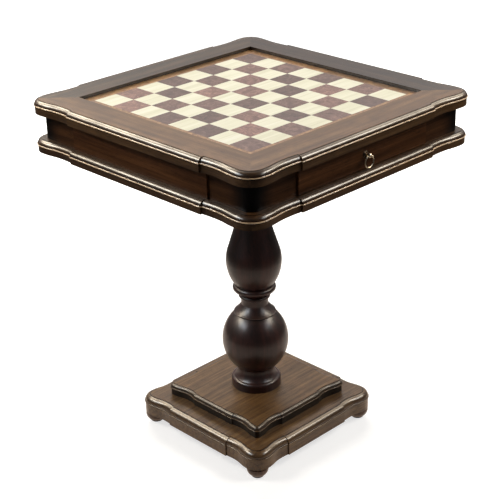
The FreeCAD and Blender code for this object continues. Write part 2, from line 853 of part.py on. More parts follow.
# ---------------------------------------------------------------- base
def tier_screw_solids():
    length = lower_tier_thickness + tier_screw_bite
    return [wood_screw(x, y, lower_tier_z, length) for x, y in tier_screws]


def base_upper_tier():
    slab = moulded_slab(UPPER_TIER_OUTLINE, UPPER_TIER_PROFILE, upper_tier_z, upper_tier_thickness)
    return without(slab, [rod(rod_bore, upper_tier_z, foot_z), socket(foot_z)] + tier_screw_solids())


def base_lower_tier():
    slab = moulded_slab(LOWER_TIER_OUTLINE, LOWER_TIER_PROFILE, lower_tier_z, lower_tier_thickness)
    cuts = [rod(rod_bore, lower_tier_z, upper_tier_z),
            rod(counterbore_radius, lower_tier_z, under_seat_z)]
    return without(slab, cuts + tier_screw_solids() + foot_bolt_solids())


def foot_bolt_solids():
    return [rod(bolt_radius, lower_tier_z - bolt_in_foot, lower_tier_z + bolt_in_tier, x, y)
            for x, y in bun_places.values()]


def bun_foot(x, y):
    """Turned bowl-shaped foot, widest near its top."""
    top = lower_tier_z
    low = glide_thickness
    widest = (bun_radius, top - bun_widest_drop)
    ankle = (bun_radius - bun_ankle_in, top)
    toe = (bun_radius - bun_toe_in, low)
    steps = [(0, low), toe, (belly_arc(widest, toe), widest), (belly_arc(widest, ankle), ankle), (0, top)]
    foot = turned(steps)
    foot.translate(V(x, y, 0))
    return without(foot, foot_bolt_solids())


def glides():
    return group([rod(glide_radius, 0, glide_thickness, x, y) for x, y in bun_places.values()])


# ---------------------------------------------------------------- every node of the table
def top_nodes():
    rails = mitred_rails(top_frame(), top_z, table_height)
    nodes = {"top_rail_" + side: rail for side, rail in rails.items()}
    nodes["board_core"] = square_block(core_half, core_z, core_z + core_thickness)
    nodes["dark_squares"] = board_squares(True)
    nodes["light_squares"] = board_squares(False)
    for side, strip in border_strips().items():
        nodes["border_strip_" + side] = strip
    nodes["mitre_splines"] = group(spline_plates(top_z, top_thickness)
                                   + spline_plates(lower_frame_z, lower_frame_thickness))
    nodes["top_fixing_blocks"] = fixing_blocks()
    nodes["top_screws"] = group(top_screw_solids())
    return nodes


def case_nodes():
    nodes = {"corner_post_" + name: corner_post(name, x, y) for name, x, y in CORNERS}
    for name, angle in (("side_panel_right", 90), ("back_panel", 180), ("side_panel_left", 270)):
        nodes[name] = turned_about(tenoned_panel(0.0), angle)
    for side, rail in mitred_rails(lower_frame(), lower_frame_z, case_z).items():
        nodes["lower_rail_" + side] = rail
    nodes["case_bottom"] = case_bottom()
    nodes["column_bearer"] = column_bearer()
    nodes["bearer_screws"] = group(bearer_screw_solids())
    nodes["drawer_runner_left"] = drawer_runner()
    nodes["drawer_runner_right"] = mirrored_x(drawer_runner())
    nodes["drawer_kicker_left"] = drawer_kicker()
    nodes["drawer_kicker_right"] = mirrored_x(drawer_kicker())
    nodes["drawer_stops"] = drawer_stops()
    return nodes


def drawer_nodes():
    return {"drawer_front": drawer_front(), "drawer_side_left": drawer_side(),
            "drawer_side_right": mirrored_x(drawer_side()), "drawer_back": drawer_back(),
            "drawer_bottom": drawer_bottom_board(), "drawer_lining": drawer_lining(),
            "pull_backplate": pull_backplate(), "pull_post": pull_post(), "pull_nut": pull_nut(),
            "pull_ring": pull_ring()}


def column_nodes():
    return {"column_cap": column_cap(), "column_vase": column_vase(), "column_collar": column_collar(),
            "column_ball": column_ball(), "column_foot": column_foot(), "tie_rod": tie_rod(),
            "tie_rod_nuts": rod_nuts(), "tie_rod_washers": rod_washers()}


def base_nodes():
    nodes = {"bun_foot_" + name: bun_foot(x, y) for name, (x, y) in bun_places.items()}
    nodes["base_upper_tier"] = base_upper_tier()
    nodes["base_lower_tier"] = base_lower_tier()
    nodes["base_screws"] = group(tier_screw_solids())
    nodes["foot_glides"] = glides()
    nodes["foot_bolts"] = group(foot_bolt_solids())
    return nodes


os.makedirs("parts", exist_ok=True)
table = {**top_nodes(), **case_nodes(), **drawer_nodes(), **column_nodes(), **base_nodes()}
for node, shape in table.items():
    shape.exportStep("parts/" + node + ".step")
    size = shape.BoundBox
    print("%-26s solids %2d  valid %s  %7.1f x %7.1f x %7.1f" % (
        node, len(shape.Solids), shape.isValid(), size.XLength, size.YLength, size.ZLength))
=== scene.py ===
# %% [markdown]
# # A chess table with an inlaid board
# A frame of moulded walnut rails holds a sunken board of burl and cream veneer. Below it are a
# case with a drawer, a turned column that is stained nearly black, and a base of two moulded
# tiers on bun feet. The shapes come ready from the CAD frame, where each rail, turning and veneer
# is an object of its own. They could be modelled again here, but then the two models would drift
# apart. So this lesson changes no shape and gives each piece the finish that a cabinetmaker
# would.

# %% Load the frame
import math

import bpy
from mathutils import Matrix, Vector

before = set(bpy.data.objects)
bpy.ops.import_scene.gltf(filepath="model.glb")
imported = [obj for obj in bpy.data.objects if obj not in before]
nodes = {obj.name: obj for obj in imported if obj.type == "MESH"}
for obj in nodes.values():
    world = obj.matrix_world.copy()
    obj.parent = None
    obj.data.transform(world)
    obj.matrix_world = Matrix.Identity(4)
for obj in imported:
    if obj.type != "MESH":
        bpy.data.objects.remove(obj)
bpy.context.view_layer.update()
print("nodes in the frame:", len(nodes))

# %% [markdown]
# ## The camera
# The table is seen from above one corner through a long lens, so its upright lines stay nearly
# parallel. A camera could be aimed at the table by a constraint. This one is also rolled by about
# a degree, so it is placed by where it stands and by two of its axes. The third axis follows from
# those two.

# %% Camera
LENS_MM = 92.76
SENSOR_MM = 36.0
CAMERA_AT = Vector((-1.7306, -1.7515, 1.5466))
CAMERA_RIGHT = Vector((0.706705, -0.707211, -0.020481))
CAMERA_UP = Vector((0.309427, 0.282914, 0.907863))


def add_camera():
    camera = bpy.data.objects.new("camera", bpy.data.cameras.new("camera"))
    bpy.context.collection.objects.link(camera)
    back = CAMERA_RIGHT.cross(CAMERA_UP)
    axes = Matrix((CAMERA_RIGHT, CAMERA_UP, back)).transposed().to_4x4()
    camera.matrix_world = Matrix.Translation(CAMERA_AT) @ axes
    camera.data.lens = LENS_MM
    camera.data.sensor_width = SENSOR_MM
    bpy.context.scene.camera = camera
    return camera


print("camera at", tuple(round(v, 3) for v in add_camera().location))

# %% [markdown]
# ## Small helpers for node materials
# A finish is a graph of nodes: a place on the object goes in at one end, and a colour or a
# roughness comes out at the other. Graphs can be drawn by hand in the Shader Editor. Written as
# functions that each add one node and hand back its output, they read as short sentences and can
# be used again.

# %% Number and vector nodes
def add_node(tree, kind, inputs=(), **settings):
    """Adds a node, applies its settings, then gives each input a value or a link."""
    node = tree.nodes.new(kind)
    for name, value in settings.items():
        setattr(node, name, value)
    for key, value in dict(inputs).items():
        if isinstance(value, bpy.types.NodeSocket):
            tree.links.new(value, node.inputs[key])
        else:
            node.inputs[key].default_value = value
    return node


def calc(tree, operation, a, b):
    return add_node(tree, "ShaderNodeMath", {0: a, 1: b}, operation=operation).outputs[0]


def vector_calc(tree, operation, a, b=(0.0, 0.0, 0.0)):
    node = add_node(tree, "ShaderNodeVectorMath", {0: a, 1: b}, operation=operation)
    return node.outputs[0]


def scale_vector(tree, vector, factor):
    sockets = {"Vector": vector, "Scale": factor}
    return add_node(tree, "ShaderNodeVectorMath", sockets, operation="SCALE").outputs[0]


def noise(tree, vector, scale=1.0, detail=2.0, roughness=0.5, distortion=0.0):
    sockets = {"Vector": vector, "Scale": scale, "Detail": detail, "Roughness": roughness,
               "Distortion": distortion}
    return add_node(tree, "ShaderNodeTexNoise", sockets).outputs["Fac"]


def fade(tree, value, low, high, out_low=0.0, out_high=1.0):
    """Smooth step from out_low to out_high while the value goes from low to high."""
    sockets = {"Value": value, "From Min": low, "From Max": high, "To Min": out_low,
               "To Max": out_high}
    return add_node(tree, "ShaderNodeMapRange", sockets, interpolation_type="SMOOTHSTEP").outputs[0]


def table_place(tree):
    """Object coordinates. No piece is moved from its place, so they are metres on the table."""
    return add_node(tree, "ShaderNodeTexCoord").outputs["Object"]


def split(tree, vector):
    return add_node(tree, "ShaderNodeSeparateXYZ", {0: vector}).outputs[:]


HELPERS = (calc, vector_calc, scale_vector, noise, fade, table_place, split)
print("helpers:", ", ".join(helper.__name__ for helper in HELPERS))

# %% [markdown]
# ## Helpers for colour
# A stain is judged by eye, so its colours are written as they look on a screen, from 0 to 255.
# Blender adds and mixes light in linear values. The colour could be picked in linear values at
# once, but those say little to the eye, so each one is converted on its way into a node.

# %% Colour nodes
def rgb(colour):
    """A colour as it looks on a screen, 0 to 255, as the linear values that Blender works in."""
    def linear(value):
        value = value / 255
        return value / 12.92 if value <= 0.04045 else ((value + 0.055) / 1.055) ** 2.4
    return tuple(linear(value) for value in colour) + (1.0,)


def darker(colour, share):
    return rgb([share * value for value in colour])


def grey(tree, value):
    """A grey of this brightness, from a value that varies over the surface."""
    return add_node(tree, "ShaderNodeCombineColor", {0: value, 1: value, 2: value}).outputs[0]


def mix_colour(tree, factor, a, b, blend="MIX"):
    """Factor, then the two colours: sockets 6 and 7 of the Mix node are its colour inputs."""
    sockets = {0: factor, 6: a, 7: b}
    return add_node(tree, "ShaderNodeMix", sockets, data_type="RGBA", blend_type=blend).outputs[2]


def multiply_colour(tree, colour, tone):
    return mix_colour(tree, 1.0, colour, grey(tree, tone), blend="MULTIPLY")


def colour_ramp(tree, value, stops):
    """Ramp through stops, each a place from 0 to 1 and a linear colour."""
    node = add_node(tree, "ShaderNodeValToRGB", {"Fac": value})
    ramp = node.color_ramp
    ramp.elements.remove(ramp.elements[1])
    for number, (place, colour) in enumerate(stops):
        element = ramp.elements.new(place) if number else ramp.elements[0]
        element.position = place
        element.color = colour
    return node.outputs["Color"]


MIDDLE_GREY = (128, 128, 128)
print("a grey of 128 on the screen is", round(rgb(MIDDLE_GREY)[0], 3), "in linear light")

# %% [markdown]
# ## Groups and materials
# Many materials need the same grain. Its nodes could be added to each of them, but a node group
# is built once and used by all, so that a change to the grain reaches every board. The groups
# hand out values only. The surface is a Principled shader in the material itself, where its
# sockets can be seen.

# %% Group and material helpers
def spaced(inputs):
    """Socket names from argument names: Band_Size stands for Band Size."""
    return {name.replace("_", " "): value for name, value in inputs.items()}


def new_group(name, inputs, outputs):
    """An empty node group with inputs {name: (type, default)} and outputs {name: type}."""
    tree = bpy.data.node_groups.new(name, "ShaderNodeTree")
    for socket_name, (kind, default) in inputs.items():
        socket = tree.interface.new_socket(
            name=socket_name, in_out="INPUT", socket_type="NodeSocket" + kind)
        if default is not None:
            socket.default_value = default
    for socket_name, kind in outputs.items():
        tree.interface.new_socket(
            name=socket_name, in_out="OUTPUT", socket_type="NodeSocket" + kind)
    return tree, tree.nodes.new("NodeGroupInput").outputs, tree.nodes.new("NodeGroupOutput").inputs


def use_group(tree, group, **inputs):
    return add_node(tree, "ShaderNodeGroup", spaced(inputs), node_tree=group).outputs


def new_material(name):
    material = bpy.data.materials.new(name)
    material.use_nodes = True
    material.node_tree.nodes.clear()
    return material, material.node_tree


def add_bump(tree, height, strength, distance):
    sockets = {"Height": height, "Strength": strength, "Distance": distance}
    return add_node(tree, "ShaderNodeBump", sockets).outputs[0]


def add_surface(tree, **inputs):
    shader = add_node(tree, "ShaderNodeBsdfPrincipled", spaced(inputs))
    add_node(tree, "ShaderNodeOutputMaterial", {"Surface": shader.outputs[0]})


print("pieces still to be finished:", len(nodes))

# %% [markdown]
# ## Wood grain as one shared group
# Wood is made of long fibres, so every pattern in it is drawn out along the grain. A scan of a
# board could be laid over the pieces, but it would repeat from board to board and blur close up.
# This group computes the pattern from the place instead. It expects a vector whose X runs along
# the grain, and gives broad growth bands, fine fibre streaks and short dark pores. Each material
# mixes them.

# %% Wood grain group
WAVES_PER_METRE = (1.6, 7.0, 7.0)
BAND_STRETCH = (0.045, 1.0, 1.0)
FIBRES_PER_METRE = (7.0, 420.0, 420.0)
PORES_PER_METRE = (70.0, 1500.0, 1500.0)
BAND_NOISE = dict(detail=3.0, roughness=0.55, distortion=0.4)
FIBRE_NOISE = dict(detail=3.0, roughness=0.6)
PORE_NOISE = dict(detail=1.0, roughness=0.4)
NOISE_MIDDLE = (0.5, 0.5, 0.5)
PORE_EDGE = (0.60, 0.70)


def make_grain_group():
    tree, given, result = new_group(
        "wood_grain",
        {"Vector": ("Vector", None), "Band Size": ("Float", 0.016), "Sway": ("Float", 0.006),
         "Plank": ("Float", 0.0)},
        {"Bands": "Float", "Fibre": "Float", "Pores": "Float"})
    plank_shift = add_node(tree, "ShaderNodeCombineXYZ", {0: given["Plank"], 1: given["Plank"]})
    place = vector_calc(tree, "ADD", given["Vector"], plank_shift.outputs[0])
    waves = add_node(tree, "ShaderNodeTexNoise",
                     {"Vector": vector_calc(tree, "MULTIPLY", place, WAVES_PER_METRE),
                      "Scale": 1.0, "Detail": 1.0}).outputs["Color"]
    sway = scale_vector(tree, vector_calc(tree, "SUBTRACT", waves, NOISE_MIDDLE), given["Sway"])
    bent = vector_calc(tree, "ADD", place, sway)
    across = vector_calc(tree, "MULTIPLY", bent, BAND_STRETCH)
    in_bands = scale_vector(tree, across, calc(tree, "DIVIDE", 1.0, given["Band Size"]))
    in_fibres = vector_calc(tree, "MULTIPLY", bent, FIBRES_PER_METRE)
    in_pores = vector_calc(tree, "MULTIPLY", bent, PORES_PER_METRE)
    pores = noise(tree, in_pores, **PORE_NOISE)
    tree.links.new(noise(tree, in_bands, **BAND_NOISE), result["Bands"])
    tree.links.new(noise(tree, in_fibres, **FIBRE_NOISE), result["Fibre"])
    tree.links.new(fade(tree, pores, *PORE_EDGE), result["Pores"])
    return tree


GRAIN = make_grain_group()
print("group", GRAIN.name, "has", len(GRAIN.nodes), "nodes")

# %% [markdown]
# ## Which way the grain runs
# A joiner lays the grain along each board. The boards could carry their own coordinates, but the
# places on the table are known already, so it is enough to swap their axes. On a rounded corner
# post the veneer is bent round. There the grain follows the distance round the corner, as x - y
# or x + y.

# %% Grain direction
AXES_BY_GRAIN = {"x": (0, 1, 2), "y": (1, 0, 2), "z": (2, 0, 1)}
ROUND_CORNER = {"round_minus": "SUBTRACT", "round_plus": "ADD"}


def grain_vector(tree, along):
    """The place on the table with the grain's way first."""
    place = split(tree, table_place(tree))
    if along in AXES_BY_GRAIN:
        order = [place[axis] for axis in AXES_BY_GRAIN[along]]
    else:
        order = [calc(tree, ROUND_CORNER[along], place[0], place[1]), 0.0, place[2]]
    return add_node(tree, "ShaderNodeCombineXYZ", dict(enumerate(order))).outputs[0]


print("ways of the grain:", ", ".join([*AXES_BY_GRAIN, *ROUND_CORNER]))

# %% [markdown]
# ## Painted shade and highlight along a moulding
# The quirk, the ovolo, the groove and the band below the bead are darkened as painted shade of the
# hollows and of the moulding's underside. The bead between them is lightened, partly as rubbed wear
# and partly as a painted highlight. These lines could be painted on by hand, or found by the
# pointiness of the mesh, which depends on how finely it is cut. On this table they all run level,
# so a ramp over the depth below the top of a slab finds them exactly. The steps are the heights of
# the parts of a moulding in millimetres.

# %% Tone of a moulding
MM = 0.001
FRAME_STEPS = dict(quirk=0.9, ovolo=9.0, bead=2.6, groove=1.6)
UPPER_STEPS = dict(quirk=0.8, ovolo=7.5, bead=1.8, groove=1.2)
LOWER_STEPS = dict(quirk=0.8, ovolo=13.0, bead=1.8, groove=1.0)
# Painted shade: the quirk and the groove are darkened to these tones, the ovolo's foot to a share
# of its own tone.
QUIRK_SHADE, GROOVE_SHADE = 0.2, 0.1
QUIRK_START, QUIRK_FULL = 0.3, 0.6
OVOLO_FOOT_SHARE = 0.7
OVOLO_HEAD_MM, OVOLO_FOOT_MM, HALF_LINE_MM = 0.5, 1.5, 0.12
TONE_ROOM = 2.0
PATCHES_PER_METRE = 25.0
PATCH_TONES = (0.3, 0.7, 0.85, 1.1)


def moulding_tone(tree, top, foot, steps, flat_tone=1.0, ovolo_tone=0.4, bead_tone=1.7,
                  band_tone=0.4):
    """Factor for the colour: the tones of the flat top, quirk, ovolo, bead, groove and band."""
    quirk = steps["quirk"]
    ovolo_foot = quirk + steps["ovolo"]
    bead_foot = ovolo_foot + steps["bead"]
    groove_foot = bead_foot + steps["groove"]
    # Tones below 1 paint shade in the quirk, ovolo, groove and band; a bead tone above 1 paints a
    # highlight.
    stops = [(QUIRK_START * quirk, flat_tone), (QUIRK_FULL * quirk, QUIRK_SHADE),
             (quirk, QUIRK_SHADE), (quirk + OVOLO_HEAD_MM, ovolo_tone),
             (ovolo_foot - OVOLO_FOOT_MM, OVOLO_FOOT_SHARE * ovolo_tone),
             (ovolo_foot - HALF_LINE_MM, QUIRK_SHADE), (ovolo_foot + HALF_LINE_MM, bead_tone),
             (bead_foot - HALF_LINE_MM, bead_tone), (bead_foot + HALF_LINE_MM, GROOVE_SHADE),
             (groove_foot - HALF_LINE_MM, GROOVE_SHADE), (groove_foot + HALF_LINE_MM, band_tone)]
    place = table_place(tree)
    below = calc(tree, "SUBTRACT", top * MM, split(tree, place)[2])
    depth = calc(tree, "DIVIDE", below, (top - foot) * MM)
    # A ramp holds 0 to 1 and the tones pass 1, so it holds a share of them that is scaled up again.
    shares = [(mm / (top - foot), (tone / TONE_ROOM,) * 3 + (1.0,)) for mm, tone in stops]
    tone = calc(tree, "MULTIPLY", colour_ramp(tree, depth, shares), TONE_ROOM)
    patchy = fade(tree, noise(tree, place, PATCHES_PER_METRE), *PATCH_TONES)
    return calc(tree, "MULTIPLY", tone, patchy)


print("depth of the frame's moulding in mm:", round(sum(FRAME_STEPS.values()), 1))

# %% [markdown]
# ## Painted shade at the upright corners
# The four rounded corners of the case are painted nearly black as shade. They could be given a mask
# each, but the sum of the distances from the table's two middle lines is greatest there, so one
# formula finds all four.

# %% Corner mask
# Painted shade: the near black that the rounded corners turn to.
CORNER_PAINTED_SHADE = (12, 9, 9)
CORNER_SHADE_MM = (530.0, 578.0)


def corner_shade_mask(tree, start, end):
    """Painted shade mask: 0 along the sides and 1 at the four upright corners."""
    x, y = split(tree, table_place(tree))[:2]
    total = calc(tree, "ADD", calc(tree, "ABSOLUTE", x, 0.0), calc(tree, "ABSOLUTE", y, 0.0))
    return fade(tree, total, start * MM, end * MM)


# Where the painted corner shade starts and where it is full.
print("corner stain starts at", CORNER_SHADE_MM[0], "mm and is full at", CORNER_SHADE_MM[1], "mm")

# %% [markdown]
# ## Stained and lacquered walnut
# Each board is walnut under stain and lacquer. One function makes them all from the colours of
# dark, middle and light grain, the way the grain runs, the painted shade and highlight along a
# moulding and the painted shade at the upright corners. The gloss could come from one low
# roughness, but lacquer is a layer: the wood below stays dull and the clear coat is smooth, dips
# into the pores and is thin where the painted shade of a moulding is darkest.

# %% Walnut material
# The bead's light colour: partly rubbed wear, partly a painted highlight.
BEAD_WEAR_AND_HIGHLIGHT = (212, 180, 144)
BEAD_HIGHLIGHT_FROM, BEAD_HIGHLIGHT_FULL = 1.25, 1.4
BAND_SHARE, FIBRE_SHARE = 0.72, 0.28
GRAIN_STOPS = (0.34, 0.5, 0.66)
PORE_DARKNESS = 0.35
LACQUER_BY_TONE = (0.15, 0.45, 0.1, 1.0)
FIBRE_ROUGHNESS = 0.16
WOOD_OVER_COAT = 0.1
FIBRE_HEIGHT = 0.5
GRAIN_RELIEF = dict(strength=0.25, distance=0.00006)


def walnut(name, along, dark, middle, light, plank=0.0, moulding=None, corner=None, coat=0.6,
           coat_roughness=0.2, band_size=0.016, pore_strength=0.55, gloss=0.15):
    material, tree = new_material(name)
    grain = use_group(tree, GRAIN, Vector=grain_vector(tree, along), Band_Size=band_size,
                      Plank=plank)
    bands, fibre, pores = grain["Bands"], grain["Fibre"], grain["Pores"]
    figure = calc(tree, "ADD", calc(tree, "MULTIPLY", bands, BAND_SHARE),
                  calc(tree, "MULTIPLY", fibre, FIBRE_SHARE))
    colour = colour_ramp(tree, figure, zip(GRAIN_STOPS, (rgb(dark), rgb(middle), rgb(light))))
    pore_mask = calc(tree, "MULTIPLY", pores, pore_strength)
    colour = mix_colour(tree, pore_mask, colour, darker(dark, PORE_DARKNESS))
    lacquer = coat
    # A moulding's tone paints shade in its hollows and below its edge, and a highlight on the bead.
    if moulding:
        tone = moulding_tone(tree, **moulding)
        colour = multiply_colour(tree, colour, tone)
        colour = mix_colour(tree, fade(tree, tone, BEAD_HIGHLIGHT_FROM, BEAD_HIGHLIGHT_FULL), colour, rgb(BEAD_WEAR_AND_HIGHLIGHT))
        lacquer = calc(tree, "MULTIPLY", fade(tree, tone, *LACQUER_BY_TONE), coat)
    # Painted shade: the upright corners turn nearly black.
    if corner:
        colour = mix_colour(tree, corner_shade_mask(tree, *corner), colour, rgb(CORNER_PAINTED_SHADE))
    roughness = calc(tree, "ADD", calc(tree, "MULTIPLY", fibre, FIBRE_ROUGHNESS),
                     coat_roughness + WOOD_OVER_COAT)
    relief = calc(tree, "SUBTRACT", calc(tree, "MULTIPLY", fibre, FIBRE_HEIGHT), pores)
    add_surface(tree, Base_Color=colour, Roughness=roughness,
                Normal=add_bump(tree, relief, **GRAIN_RELIEF), Specular_IOR_Level=gloss,
                Coat_Weight=lacquer, Coat_Roughness=coat_roughness)
    return material


# The bead colour below is partly rubbed wear and partly a painted highlight.
print("rubbed edges have the colour", BEAD_WEAR_AND_HIGHLIGHT)

# %% [markdown]
# ## The rails of the top and of the case's foot
# The four rails of each frame are cut from different planks, and light falls on them from
# different sides, so they don't match: the front and the left rail are lively, the back one is
# quiet and the right one is deep brown. The back and the right rail's darker colours are partly the
# plank and partly painted shade. One material could serve all eight, but then the mitres at the
# corners would not show as joints.

# %% Rails
ALONG = {"front": "x", "back": "x", "left": "y", "right": "y"}
LIVELY = dict(dark=(78, 50, 25), middle=(104, 71, 38), light=(128, 93, 54))
# The back and right rails' colours are partly painted shade.
QUIET_AND_SHADED = dict(dark=(52, 35, 22), middle=(70, 50, 32), light=(88, 67, 45))
DEEP_AND_SHADED = dict(dark=(42, 25, 13), middle=(57, 36, 20), light=(74, 51, 32))
TOP_COLOURS = {"front": LIVELY, "left": LIVELY, "back": QUIET_AND_SHADED, "right": DEEP_AND_SHADED}
FRAME_COLOURS = dict(dark=(70, 43, 21), middle=(96, 63, 33), light=(122, 86, 49))
PLANKS = {"front": 0.13, "back": 0.71, "left": 1.37, "right": 2.05}
LOWER_PLANK_STEP = 0.4
RAIL_COAT = dict(coat=0.8, coat_roughness=0.2)
TOP_MOULDING = dict(top=754.0, foot=726.0, steps=FRAME_STEPS)
# flat_tone darkens the lower moulding's flat shelf at the foot of the case: painted shade.
LOWER_MOULDING = dict(top=672.0, foot=646.0, steps=FRAME_STEPS, flat_tone=0.35)


def paint(node, material):
    """Gives a CAD node its finish."""
    for slot in nodes[node].material_slots:
        slot.material = material


for side, along in ALONG.items():
    paint("top_rail_" + side, walnut("walnut_top_" + side, along, plank=PLANKS[side],
                                     moulding=TOP_MOULDING, **RAIL_COAT, **TOP_COLOURS[side]))
    paint("lower_rail_" + side, walnut("walnut_lower_" + side, along,
                                       plank=PLANKS[side] + LOWER_PLANK_STEP,
                                       moulding=LOWER_MOULDING, **RAIL_COAT, **FRAME_COLOURS))
print("rails finished:", 2 * len(ALONG))

# %% [markdown]
# ## The case
# Panels, drawer front and corner posts stand upright under the top, in its shade, with a duller
# lacquer than the rails. The posts take darker colours than the panels, partly as painted shade,
# and their rounded corners are painted nearly black as shade. The drawer front could be part of one
# long panel; as a board of its own, with its own part of the plank, it reads as a drawer. The
# number after each grain direction picks that part.

# %% Case and drawer front
CASE_COLOURS = dict(dark=(47, 26, 12), middle=(67, 40, 21), light=(88, 56, 32))
# Darker than the panels: partly painted shade of the corner posts.
POST_SHADED_COLOURS = dict(dark=(38, 21, 11), middle=(54, 33, 19), light=(72, 46, 27))
CASE_BOARDS = {"side_panel_left": ("y", 5.55), "side_panel_right": ("y", 5.92),
               "back_panel": ("x", 3.7), "drawer_front": ("x", 4.44)}
CORNER_POSTS = {"front_left": ("round_minus", 5.3), "back_right": ("round_minus", 5.3),
                "front_right": ("round_plus", 5.83), "back_left": ("round_plus", 4.77)}

for name, (along, plank) in CASE_BOARDS.items():
    paint(name, walnut("walnut_" + name, along, plank=plank, coat=0.15, gloss=0.05, **CASE_COLOURS))
for corner, (along, plank) in CORNER_POSTS.items():
    paint("corner_post_" + corner, walnut("walnut_post_" + corner, along, plank=plank, coat=0.12,
                                          gloss=0.04, corner=CORNER_SHADE_MM, **POST_SHADED_COLOURS))
print("case pieces finished:", len(CASE_BOARDS) + len(CORNER_POSTS))

# %% [markdown]
# ## The base
# Two moulded tiers stand on four turned feet. Both tiers have one stain, with a finer grain than
# the rails. The ovolo and the band of the upper tier are dark, and those of the lower tier are
# nearly as light as its top. Here it is one wood, and the dark tones below the upper tier's edge
# are painted shade. That could be two kinds of wood. Here it is one wood with other tones for
# the parts of the moulding.

# %% Base and feet
BASE_COLOURS = dict(dark=(66, 44, 24), middle=(87, 62, 35), light=(108, 81, 48))
FINE_GRAIN = dict(band_size=0.007)
# Painted shade: the upper tier's ovolo and band are darkened; the lower tier's bead tone paints a
# faint highlight.
UPPER_MOULDING = dict(top=92.0, foot=66.0, steps=UPPER_STEPS, bead_tone=1.0, band_tone=0.12)
LOWER_TIER_MOULDING = dict(top=66.0, foot=25.0, steps=LOWER_STEPS, ovolo_tone=0.9, bead_tone=1.2,
                           band_tone=0.9)
FEET = {"front_left": 3.0, "front_right": 3.3, "back_left": 2.7, "back_right": 3.0}

paint("base_upper_tier", walnut("walnut_upper_tier", "x", plank=0.2, coat=0.4, coat_roughness=0.25,
                                moulding=UPPER_MOULDING, **FINE_GRAIN, **BASE_COLOURS))
paint("base_lower_tier", walnut("walnut_lower_tier", "x", plank=0.9, coat=0.6, coat_roughness=0.2,
                                moulding=LOWER_TIER_MOULDING, **FINE_GRAIN, **BASE_COLOURS))
for corner, plank in FEET.items():
    paint("bun_foot_" + corner, walnut("walnut_foot_" + corner, "z", plank=plank, **CASE_COLOURS))
print("base pieces finished:", 2 + len(FEET))

# %% [markdown]
# ## The turned column
# The column is turned in pieces and stained almost black. A plain black paint would be quicker,
# but under the lacquer the grain still shows where light glances off it, so this is the same
# walnut in very dark colours with few pores.

# %% Column
COLUMN_COLOURS = dict(dark=(24, 8, 7), middle=(40, 17, 14), light=(58, 29, 24))
TURNINGS = {"column_cap": 2.1, "column_vase": 2.31, "column_collar": 2.73, "column_ball": 2.31,
            "column_foot": 2.31}

for name, plank in TURNINGS.items():
    paint(name, walnut("stained_" + name, "z", plank=plank, coat=0.5, coat_roughness=0.28,
                       pore_strength=0.3, gloss=0.1, **COLUMN_COLOURS))
print("turnings finished:", len(TURNINGS))

# %% [markdown]
# ## A number for each square
# Each dark square of the board is cut from another part of the veneer leaf. A material for each
# square would show that, and so does one material that knows which square it is on. The place
# divided by the size of a square and rounded down is the same all over that square, and a random
# value is drawn from it.

# %% Tile number group
SQUARE = 0.055
ON_THE_FLAT = (1.0, 1.0, 0.0)


def make_tile_group():
    tree, given, result = new_group(
        "tile_number", {"Size": ("Float", SQUARE)}, {"Number": "Float", "Shift": "Vector"})
    in_tiles = scale_vector(tree, table_place(tree), calc(tree, "DIVIDE", 1.0, given["Size"]))
    cell = vector_calc(tree, "FLOOR", vector_calc(tree, "MULTIPLY", in_tiles, ON_THE_FLAT))
    random = add_node(tree, "ShaderNodeTexWhiteNoise", {"Vector": cell}, noise_dimensions="3D")
    tree.links.new(random.outputs["Value"], result["Number"])
    tree.links.new(random.outputs["Color"], result["Shift"])
    return tree


TILE = make_tile_group()
print("group", TILE.name, "has", len(TILE.nodes), "nodes")

# %% [markdown]
# ## Burl veneer
# Burl is wood without a direction: soft clouds of colour, swirls, and small dark eyes. Stretched
# grain would look wrong here, so two noises of different sizes make the clouds and the swirls,
# and a Voronoi pattern, whose value is smallest at scattered points, makes the eyes.

# %% Burl material
CLOUDS = dict(scale=55.0, detail=5.0, roughness=0.62, distortion=1.6)
SWIRLS = dict(scale=160.0, detail=4.0, roughness=0.7, distortion=2.4)
CLOUD_SHARE, SWIRL_SHARE = 0.6, 0.4
BURL_STOPS = (0.36, 0.5, 0.64)
EYES_PER_METRE = 190.0
EYE_EDGE, EYE_MIDDLE = 0.26, 0.08
EYE_DARKNESS = 0.5
BURL_ROUGHNESS, SWIRL_ROUGHNESS = 0.3, 0.12
BURL_RELIEF = dict(strength=0.08, distance=0.00005)
BURL_LACQUER = dict(Specular_IOR_Level=0.3, Coat_Weight=0.7, Coat_Roughness=0.08)


def burl(name, dark, middle, light, tile_size, eyes=0.5, variation=0.25):
    material, tree = new_material(name)
    tile = use_group(tree, TILE, Size=tile_size)
    place = vector_calc(tree, "ADD", table_place(tree), tile["Shift"])
    clouds, swirl = noise(tree, place, **CLOUDS), noise(tree, place, **SWIRLS)
    figure = calc(tree, "ADD", calc(tree, "MULTIPLY", clouds, CLOUD_SHARE),
                  calc(tree, "MULTIPLY", swirl, SWIRL_SHARE))
    colour = colour_ramp(tree, figure, zip(BURL_STOPS, (rgb(dark), rgb(middle), rgb(light))))
    spots = add_node(tree, "ShaderNodeTexVoronoi", {"Vector": place, "Scale": EYES_PER_METRE})
    eye = fade(tree, spots.outputs["Distance"], EYE_EDGE, EYE_MIDDLE)
    colour = mix_colour(tree, calc(tree, "MULTIPLY", eye, eyes), colour, darker(dark, EYE_DARKNESS))
    shade = fade(tree, tile["Number"], 0.0, 1.0, 1.0 - variation, 1.0 + variation)
    roughness = calc(tree, "ADD", calc(tree, "MULTIPLY", swirl, SWIRL_ROUGHNESS), BURL_ROUGHNESS)
    add_surface(tree, Base_Color=multiply_colour(tree, colour, shade), Roughness=roughness,
                Normal=add_bump(tree, swirl, **BURL_RELIEF), **BURL_LACQUER)
    return material


